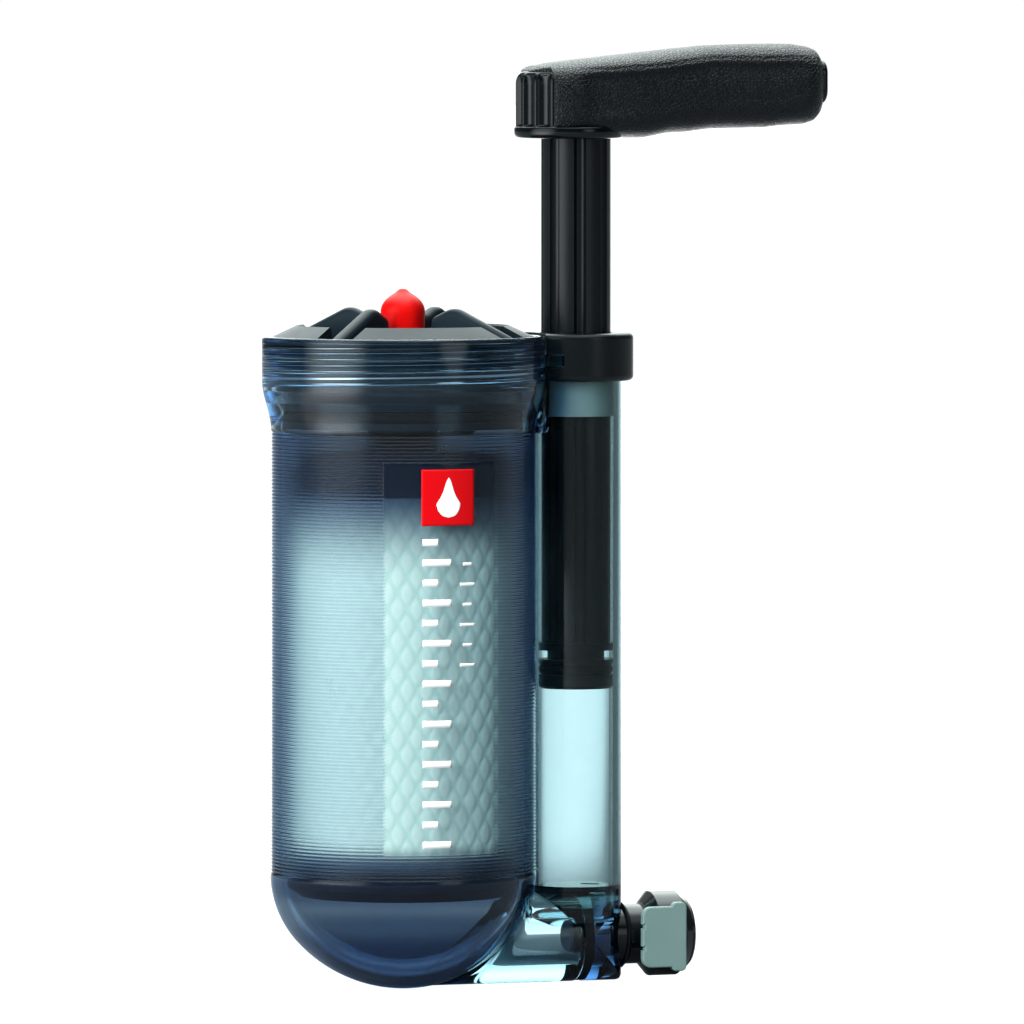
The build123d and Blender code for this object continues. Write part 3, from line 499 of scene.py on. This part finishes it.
def housing_shell():
    """Outside profile up and inside profile down, revolved about Z. On the grip the radius drops by a
    cosine rib, except inside the label window, whose edge is a steep ramp in angle and height. In the
    collar the bore steps in along a helix. Beside the pump the radius stops at the barrel's round."""
    rib_z = np.linspace(-GRIP_HALF, GRIP_HALF, RIB_COUNT * RIB_ROWS + 1)
    outer_grip = np.stack((np.full_like(rib_z, GRIP_R), rib_z), axis=-1)
    rise = np.linspace(0, 1, 14)[1:]
    flare = np.stack((GRIP_R + (COLLAR_R - GRIP_R) * ease(rise),
                      GRIP_HALF + (COLLAR_BASE - GRIP_HALF) * rise), axis=-1)
    rim = np.array(((COLLAR_R, COLLAR_TOP - 0.8), (COLLAR_R - 0.08, COLLAR_TOP - 0.4),
                    (COLLAR_R - 0.24, COLLAR_TOP - 0.16), (COLLAR_R - 0.5, COLLAR_TOP),
                    (COLLAR_BORE_R + 0.3, COLLAR_TOP), (COLLAR_BORE_R, COLLAR_TOP - 0.3)))
    root_z = LAND_TOP + COLLAR_BORE_R - (GRIP_R - WALL)
    bore_z = np.linspace(COLLAR_TOP - 0.5, root_z, 70)
    bore = np.stack((np.full_like(bore_z, COLLAR_BORE_R), bore_z), axis=-1)
    land = np.array(((GRIP_R - WALL, LAND_TOP), (GRIP_R - WALL, LAND_TOP - 0.3),
                     (GRIP_R - WALL, 0.0), (GRIP_R - WALL, -GRIP_HALF + 0.3)))
    inside = dome(WALL)[::-1]
    profile = np.concatenate((dome(0.0)[:-1], outer_grip, flare, rim, bore, land, inside))
    first_rib = 2 * DOME_ROWS - 2
    ribbed = np.zeros(len(profile))
    ribbed[first_rib:first_rib + len(rib_z)] = 1.0
    threaded = np.zeros(len(profile))
    first_bore = first_rib + len(rib_z) + len(flare) + len(rim)
    threaded[first_bore:first_bore + len(bore_z)] = 1.0

    edge = math.radians(0.2)
    spots = np.concatenate([
        np.linspace(-math.pi, math.pi, 101)[:-1],
        [WINDOW_CENTRE + side * (WINDOW_HALF + shift * edge)
         for side in (-1, 1) for shift in (-1.5, -0.5, 0.5, 1.5)],
    ])
    theta = np.sort(spots)[None, :]
    r = profile[:, 0][:, None]
    z = profile[:, 1][:, None]
    across = ease((WINDOW_HALF - np.abs(theta - WINDOW_CENTRE)) / edge + 0.5)
    upright = ease((z - WINDOW_LOW) / 0.4 + 0.5) * ease((WINDOW_HIGH - z) / 0.4 + 0.5)
    rib = 0.5 + 0.5 * np.cos(2 * math.pi * (z + GRIP_HALF) / RIB_PITCH)
    radius = r - RIB_DEPTH * (1 - rib) * ribbed[:, None] * (1 - across * upright)
    turn = (z - root_z - THREAD_DEPTH) / THREAD_PITCH - theta / (2 * math.pi)
    along = ease((z - root_z - 0.7) / 0.5) * ease((COLLAR_TOP - 1.0 - z) / 0.5)
    ridge = 0.5 + 0.5 * np.cos(2 * math.pi * turn)
    radius = radius - THREAD_DEPTH * ridge * along * threaded[:, None]
    reach = BARREL_R**2 - (PUMP_X * np.sin(theta))**2
    beside = PUMP_X * np.cos(theta) - np.sqrt(np.clip(reach, 0, None)) - BARREL_GAP
    radius = np.where((reach > 0) & (np.cos(theta) > 0), np.minimum(radius, beside), radius)
    points = np.stack((radius * np.cos(theta), radius * np.sin(theta),
                       np.broadcast_to(z, radius.shape)), axis=-1)
    return surface("housing_shell", points, "smoke")


def base_tube():
    """Round tube about the channel axis, from the dome's skin to the seal: a closed ring of four
    runs - start face on the dome, outside, end face, bore - carried round the axis."""

    def dome_reach(y, z):
        """How far out in X the dome's skin is at a point across the channel."""
        radius = np.sqrt(np.clip(CROWN_R**2 - (z - CROWN_Z)**2, 0, None))
        haunch = GRIP_R - HAUNCH_R + np.sqrt(np.clip(HAUNCH_R**2 - (z + GRIP_HALF)**2, 0, None))
        join = CROWN_Z + CROWN_R * math.sin(DOME_JOIN)
        skin = np.where(z < join, radius, haunch)
        return np.sqrt(np.clip(skin**2 - y**2, 0, None))

    phi = np.linspace(0, 2 * math.pi, 97)[:-1][None, :]
    loops = []
    for ring in np.linspace(CHANNEL_R, BARREL_R, 8):
        y, z = ring * np.cos(phi), CHANNEL_Z + ring * np.sin(phi)
        loops.append((dome_reach(y, z) + SKIN_GAP, y, z))
    y, z = BARREL_R * np.cos(phi), CHANNEL_Z + BARREL_R * np.sin(phi)
    begin = loops[-1][0]
    for part in np.linspace(0.1, 1.0, 10):
        loops.append((begin + (SEAL_X - 0.35 - begin) * part, y, z))
    for ring, x in ((BARREL_R - 0.1, SEAL_X - 0.1), (BARREL_R - 0.35, SEAL_X), (CHANNEL_R + 0.2, SEAL_X),
                    (CHANNEL_R, SEAL_X - 0.2)):
        loops.append((np.full_like(phi, x), ring * np.cos(phi), CHANNEL_Z + ring * np.sin(phi)))
    y, z = CHANNEL_R * np.cos(phi), CHANNEL_Z + CHANNEL_R * np.sin(phi)
    inner = loops[0][0]
    for part in np.linspace(0.8, 0.2, 4):
        loops.append((inner + (SEAL_X - inner) * part, y, z))
    points = np.stack([np.stack(loop, axis=-1)[0] for loop in loops])
    return surface("base_tube", points, "base", closed_rows=True)


def bridge():
    """The web that ties the barrel to the collar: a rounded rectangle in Y and Z carried from the
    housing's skin to the barrel's round, each end following the skin it meets."""
    spot = np.linspace(0, 2 * math.pi, 65)[:-1]
    power = 0.18
    half_z = (BRIDGE_TOP - BRIDGE_BOTTOM) / 2
    rim_y = BRIDGE_HALF * np.sign(np.cos(spot)) * np.abs(np.cos(spot))**power
    rim_z = half_z * np.sign(np.sin(spot)) * np.abs(np.sin(spot))**power
    shares = (0.0, 0.35, 0.7, 1.0)
    rows = []
    for index, share in enumerate(shares + shares[::-1]):
        y = rim_y * share
        z = BRIDGE_BOTTOM + half_z + rim_z * share
        rise = ease((z - GRIP_HALF) / (COLLAR_BASE - GRIP_HALF))
        skin = GRIP_R + (COLLAR_R - GRIP_R) * rise
        x = np.sqrt(skin**2 - y**2) + SKIN_GAP
        if index >= len(shares):
            x = np.maximum(PUMP_X - np.sqrt(BARREL_R**2 - y**2) - SKIN_GAP, x + SKIN_GAP)
        rows.append(np.stack((x, y, z), axis=-1))
    points = np.stack(rows)
    return surface("bridge_web", points, "smoke")


def protector_net():
    """A sleeve whose outside carries a net: two families of helical strands cross at each cell corner,
    and each long diamond between them swells into a soft pad."""
    low, high = (corner.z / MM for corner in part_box("protector_sleeve"))
    theta = np.linspace(0, 2 * math.pi, NET_AROUND * 10 + 1)[:-1][None, :]
    z = np.linspace(low, high, 170)[:, None]
    left = theta * NET_AROUND / (2 * math.pi) + z / NET_RISE
    right = theta * NET_AROUND / (2 * math.pi) - z / NET_RISE
    pad = np.abs(np.sin(math.pi * left) * np.sin(math.pi * right))
    radius = SLEEVE_R - PAD_RISE + PAD_RISE * ease(pad / 0.6)
    outer = np.stack((radius * np.cos(theta), radius * np.sin(theta),
                      np.broadcast_to(z, radius.shape)), axis=-1)
    inner_r = SLEEVE_R - PAD_RISE - 0.3
    ends = []
    for height in (high, low):
        flat = np.full_like(theta, height)
        ends.append(np.stack((inner_r * np.cos(theta), inner_r * np.sin(theta), flat), axis=-1))
    points = np.concatenate((outer, ends[0], ends[1]))
    return surface("protector_net", points, "net", closed_rows=True)


HUB_X = 37.9
HUB_R = 12.0
HUB_BOTTOM = 110.35
HUB_RIM_TOP = 112.85
HUB_TOP = 125.2
HUB_SHOULDER = 2.9
HUB_WALL_R = HUB_R - 0.35
HUB_SINK = 2.6
FLUTED_HALF = math.radians(57.0)
FLUTE_STEP = math.radians(21.0)
FLUTE_HALF = 1.65
FLUTE_DEPTH = 1.25


def hub_cover():
    """The handle's round end: a profile revolved about the hub's axis, with a plain rim at the foot and
    a quarter-round shoulder. The flutes at the back cut in as half circles and fade out in round tops,
    and the part that the grip covers is sunk clear of it."""
    rim = np.array(((0.0, HUB_BOTTOM), (6.0, HUB_BOTTOM), (HUB_R - 1.0, HUB_BOTTOM),
                    (HUB_R - 0.3, HUB_BOTTOM + 0.3), (HUB_R, HUB_BOTTOM + 1.0),
                    (HUB_R, HUB_RIM_TOP - 0.3), (HUB_R - 0.2, HUB_RIM_TOP)))
    wall_z = np.linspace(HUB_RIM_TOP + 0.1, HUB_TOP - HUB_SHOULDER, 34)
    wall = np.stack((np.full_like(wall_z, HUB_WALL_R), wall_z), axis=-1)
    shoulder = arc(HUB_WALL_R - HUB_SHOULDER, HUB_TOP - HUB_SHOULDER, HUB_SHOULDER,
                   0.08, math.pi / 2, 12)
    crown = np.array(((4.0, HUB_TOP + 0.1), (0.0, HUB_TOP + 0.1)))
    profile = np.concatenate((rim, wall, shoulder, crown))
    theta = np.linspace(-math.pi, math.pi, 361)[:-1][None, :]
    r = profile[:, 0][:, None]
    z = profile[:, 1][:, None]
    back = np.abs(theta) - math.pi
    nearest = np.clip(np.round(back / FLUTE_STEP), -4, 0) * FLUTE_STEP
    off = np.abs(back - nearest) * HUB_WALL_R / FLUTE_HALF
    cut = FLUTE_DEPTH * np.sqrt(np.clip(1 - off**2, 0, None))
    arch = np.clip((HUB_TOP - 1.0 - z) / 2.2, 0, 1)
    cut = cut * np.sqrt(1 - (1 - arch)**2) * ease((z - HUB_RIM_TOP) / 0.3)
    buried = HUB_SINK * ease((np.abs(back) - FLUTED_HALF) / 0.06) * (z > HUB_RIM_TOP)
    radius = r - np.maximum(cut, buried) * (r > 8.0)
    points = np.stack((HUB_X + radius * np.cos(theta), radius * np.sin(theta),
                       np.broadcast_to(z, radius.shape)), axis=-1)
    return surface("hub_cover", points, "gloss")


TOP_LINE = ((-11.6, 124.9), (-11.2, 125.25), (-9.6, 125.95), (-5.9, 126.65),
            (-0.5, 127.35), (6.9, 128.15), (14.2, 128.95), (21.5, 129.75), (28.8, 130.45),
            (36.0, 130.75), (44.0, 130.88), (48.9, 130.85), (52.6, 130.3), (54.4, 129.6),
            (55.6, 128.2), (56.3, 126.0), (56.5, 122.0))
UNDER_LINE = ((-8.3, 110.45), (14.0, 110.5), (16.5, 110.9), (19.4, 111.5), (24.6, 111.75),
              (29.9, 112.4), (36.0, 112.55), (42.5, 112.65), (46.6, 113.1), (51.9, 113.4),
              (54.0, 114.0), (55.3, 115.2), (56.1, 117.6), (56.5, 121.5))
SHELL_END = -8.3
SHELL_UNDER = 124.1
SHELL_R = 10.4
TIP_START = 50.0
TIP_LENGTH = 6.5


def handle_grip():
    """Rounded-box sections along the handle. Each section runs between a top line and an underside
    line; its plan width follows the hub's round and then tapers to the free end. A narrow crease waves
    along two to five millimetres below the top line, and the sides hollow in below it."""
    top_u, top_z = np.array(TOP_LINE).T
    low_u, low_z = np.array(UNDER_LINE).T
    along = np.concatenate((
        np.linspace(TOP_LINE[0][0], SHELL_END - 0.05, 24),
        np.linspace(SHELL_END + 0.02, TIP_START, 120),
        TIP_START + TIP_LENGTH * np.sin(np.linspace(0.03, math.pi / 2, 26)),
    ))[:, None]
    around = np.linspace(0, 2 * math.pi, 145)[:-1][None, :]
    top = np.interp(along, top_u, top_z)
    under = np.where(along < SHELL_END, SHELL_UNDER, np.interp(along, low_u, low_z))
    top = np.maximum(top, under + 0.05)
    from_hub = np.minimum(along + PUMP_X - HUB_X, 0)
    hub_round = np.where(along < SHELL_END, SHELL_R, HUB_R + 0.4)
    hub_side = np.sqrt(np.clip(hub_round**2 - from_hub**2, 0, None))
    bar_side = 12.4 - 2.4 * ease((along - 4.0) / 30.0)
    tip = np.sqrt(np.clip(1 - (np.clip(along - 46.0, 0, None) / 10.55)**2.6, 0, None))
    half_width = np.where(along < 0, hub_side, bar_side * tip)
    middle = (top + under) / 2
    half_height = (top - under) / 2
    roundness = 2 / (3.4 - 0.9 * ease((along - 2) / 30))
    side = np.sign(np.cos(around)) * np.abs(np.cos(around))**roundness
    rise = np.sign(np.sin(around)) * np.abs(np.sin(around))**roundness
    z = middle + half_height * rise
    below_top = top - z
    drop = 2.4 + 0.7 * np.sin((along - 2.0) / 9.5) + 1.5 * ease((along - 26.0) / 16.0)
    crease = 0.35 * np.exp(-((below_top - drop) / 0.5)**2)
    scoop = 1.3 * ease((below_top - drop) / 2.2) * ease((z - under - 1.0) / 6.0)
    fade = ease((along + 6.0) / 8.0) * ease((54.0 - along) / 8.0)
    y = side * (half_width - (crease + scoop) * fade)
    x = np.broadcast_to(along + PUMP_X, y.shape)
    points = np.stack((x, y, z), axis=-1)
    first = points[:1].mean(axis=1, keepdims=True) + np.zeros_like(points[:1])
    final = points[-1:].mean(axis=1, keepdims=True) + np.zeros_like(points[-1:])
    points = np.concatenate((first, points, final))
    return surface("grip_cover", points, "grain")


def printed(name, finish, centre, half_across, low, high, outline=None, lift=0.03, count=(24, 24)):
    """A thin printed patch wrapped on the label window: across is an angle about the housing's axis,
    and outline narrows the patch row by row, as a share of its half width."""
    z = np.linspace(low, high, count[0])[:, None]
    share = np.ones_like(z) if outline is None else outline((z - low) / (high - low))
    across = np.linspace(-1, 1, count[1])[None, :] * half_across * share + centre
    theta = WINDOW_CENTRE + across / GRIP_R
    faces = []
    for radius in (GRIP_R + lift, GRIP_R + lift - 0.02):
        faces.append(np.stack((radius * np.cos(theta), radius * np.sin(theta),
                               np.broadcast_to(z, theta.shape)), axis=-1))
    outer, inner = faces
    loop = np.concatenate((outer, inner[:, ::-1]), axis=1)
    start = np.concatenate((loop[:1].mean(axis=1, keepdims=True) + np.zeros_like(loop[:1]), loop))
    end = loop[-1:].mean(axis=1, keepdims=True) + np.zeros_like(loop[-1:])
    return surface(name, np.concatenate((start, end)), finish)


def drop_outline(t):
    """A falling drop: round at the foot, drawn to a point at the head."""
    widest = 0.36
    foot = np.sqrt(np.clip(1 - (t / widest - 1)**2, 0, None))
    up = (t - widest) / (1 - widest)
    head = np.clip(1 - up, 0, None)**0.85 * (1 - 0.25 * np.sin(math.pi * up))
    return np.where(t < widest, foot, head)


def made(piece, body, slot, *replaced):
    """Rides a new piece on its body and hides the parts that it stands for; its slot is not used."""
    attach(piece, body)
    if replaced:
        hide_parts(*replaced)


made(housing_shell(), "housing", "clear_smoke", "filter_housing")
made(base_tube(), "housing", "clear_smoke")
made(bridge(), "housing", "clear_smoke")
made(protector_net(), "lid", "pale_net", "protector_sleeve")
made(handle_grip(), "plunger", "black_grain", "handle_grip")
made(hub_cover(), "plunger", "black_gloss", "handle_hub")

PANEL_CENTRE = 0.75
made(printed("print_panel", "red_ink", PANEL_CENTRE, 6.0, 28.3, 40.3), "housing", "red_rubber")
made(printed("print_drop", "white_ink", PANEL_CENTRE, 2.7, 30.0, 38.6, drop_outline, lift=0.06),
     "housing", "milky_plastic")
SCALE_FOOT = -40.5
SCALE_STEP = 4.3
SCALE_MARKS = 16
SIDE_MARKS = 6
SIDE_FIRST = 9
for index in range(SCALE_MARKS):
    foot = SCALE_FOOT + index * SCALE_STEP
    half = 3.2 if index % 2 == 0 else 1.7
    made(printed(f"print_mark_{index:02d}", "white_ink", -5.0 + half, half, foot,
                 foot + 1.5, count=(3, 16)), "housing", "milky_plastic")
for index in range(SIDE_MARKS):
    foot = SCALE_FOOT + (SIDE_FIRST + index) * SCALE_STEP
    half = 1.8 if index % 2 == 0 else 1.1
    made(printed(f"print_side_{index}", "white_ink", 5.1, half, foot,
                 foot + 0.7, count=(3, 12)), "housing", "milky_plastic")


# ---------------------------------------------------------------- stage and light
SIDE = FRONT + 90.0
BACK = FRONT + 180.0
# Each glow: azimuth and elevation in degrees, the cosines where it starts and is full, its strength.
GLOWS = ((-166.0, 8.0, 0.84, 0.99, 1.5), (-66.0, 12.0, 0.965, 0.995, 0.9),
         (-100.0, 74.0, 0.66, 0.97, 1.2), (-172.0, -25.0, 0.80, 0.98, 1.3),
         (BACK, 0.0, 0.93, 0.99, 1.45), (BACK, 58.0, 0.70, 0.95, 3.6))


def heading_of(azimuth, elevation):
    """The unit vector that points along an azimuth and an elevation in degrees."""
    turn, lift = math.radians(azimuth), math.radians(elevation)
    return Vector((math.cos(lift) * math.cos(turn), math.cos(lift) * math.sin(turn), math.sin(lift)))


def surround_level(graph, direction):
    """How bright the studio is in a direction: white behind, a dark flag at each side, dim in front,
    with soft glows at the left, right, overhead and behind."""

    def along(azimuth, elevation):
        """The cosine of the angle between the direction and a heading."""
        dot = graph.node("ShaderNodeVectorMath", {"operation": "DOT_PRODUCT"},
                         {0: direction, 1: heading_of(azimuth, elevation)})
        return Num(graph, dot.outputs["Value"])

    front = along(FRONT, 0.0).step(-0.35, 0.35)
    flag = along(SIDE, 0.0).absolute().step(0.17, 0.52)
    level = (1 - front * 0.965) * (1 - flag * 0.93) * 1.12
    for azimuth, elevation, low, high, glow in GLOWS:
        level = level + along(azimuth, elevation).step(low, high) * glow
    return level


def stage_floor():
    """A wide pale sweep, lit from below as a light table is, and shaded close to the object."""
    graph = new_finish("pale_floor")
    tone = graph.noise(400.0)
    paper = graph.shader(Base_Color=graph.blend(tone, (0.10, 0.11, 0.12), (0.12, 0.13, 0.14)),
                         Roughness=0.8, Specular_IOR_Level=0.1)
    x, y, _ = graph.axes()
    reach = graph.maths("SQRT", x * x + y * y)
    heading = graph.node("ShaderNodeVectorMath", {"operation": "NORMALIZE"}, {0: graph.place()})
    far = reach.step(110.0, 420.0) * surround_level(graph, heading.outputs[0])
    camera_ray = Num(graph, graph.node("ShaderNodeLightPath").outputs["Is Camera Ray"])
    shown = camera_ray * 0.96 + (1 - camera_ray) * far
    glow = graph.node("ShaderNodeEmission", None, {"Color": (1.0, 1.0, 1.0, 1.0), "Strength": shown})
    lit = graph.node("ShaderNodeAddShader", None, {0: paper.outputs[0], 1: glow.outputs[0]})
    half = 40.0
    z = FLOOR_Z - SKIN_GAP * MM
    corners = [(-half, -half, z), (half, -half, z), (half, half, z), (-half, half, z)]
    mesh = bpy.data.meshes.new("floor")
    mesh.from_pydata(corners, [], [(0, 1, 2, 3)])
    mesh.materials.append(graph.finish(lit.outputs[0]))
    floor = bpy.data.objects.new("floor", mesh)
    bpy.context.scene.collection.objects.link(floor)


def soft_box(name, azimuth, elevation, distance, width, height, watts):
    """A rectangular lamp that faces the object from a direction in degrees. It lights surfaces but
    makes no mirror image: the studio's own glows do that."""
    away = heading_of(azimuth, elevation)
    data = bpy.data.lights.new(name, "AREA")
    data.shape = "RECTANGLE"
    data.size = width
    data.size_y = height
    data.energy = watts
    lamp = bpy.data.objects.new(name, data)
    bpy.context.scene.collection.objects.link(lamp)
    middle = Vector((0.02, 0, 0.02))
    lamp.location = middle + away * distance
    lamp.rotation_euler = (-away).to_track_quat("-Z", "Y").to_euler()
    lamp.visible_glossy = False
    lamp.visible_transmission = False


def studio_world():
    """White to the eye, and graded as surround_level says for what the object mirrors and bends."""
    world = bpy.data.worlds.new("studio")
    bpy.context.scene.world = world
    graph = Graph(world)
    cool_white = (0.90, 0.99, 0.97)
    level = surround_level(graph, graph.node("ShaderNodeTexCoord").outputs["Generated"])
    camera_ray = Num(graph, graph.node("ShaderNodeLightPath").outputs["Is Camera Ray"])
    shown = camera_ray + (1 - camera_ray) * level
    background = graph.node("ShaderNodeBackground", None, {
        "Color": graph.blend(camera_ray, cool_white, (1.0, 1.0, 1.0)), "Strength": shown})
    graph.node("ShaderNodeOutputWorld", None, {"Surface": background.outputs[0]})


stage_floor()
studio_world()
soft_box("key_left", -143, 20, 1.6, 0.7, 1.1, 43)
soft_box("top", -80, 75, 1.4, 0.9, 0.9, 6)

scene = bpy.context.scene
scene.view_settings.view_transform = "Standard"
scene.cycles.max_bounces = 20
scene.cycles.transmission_bounces = 20
scene.cycles.transparent_max_bounces = 20
scene.cycles.glossy_bounces = 6
scene.cycles.diffuse_bounces = 3
scene.cycles.use_denoising = True
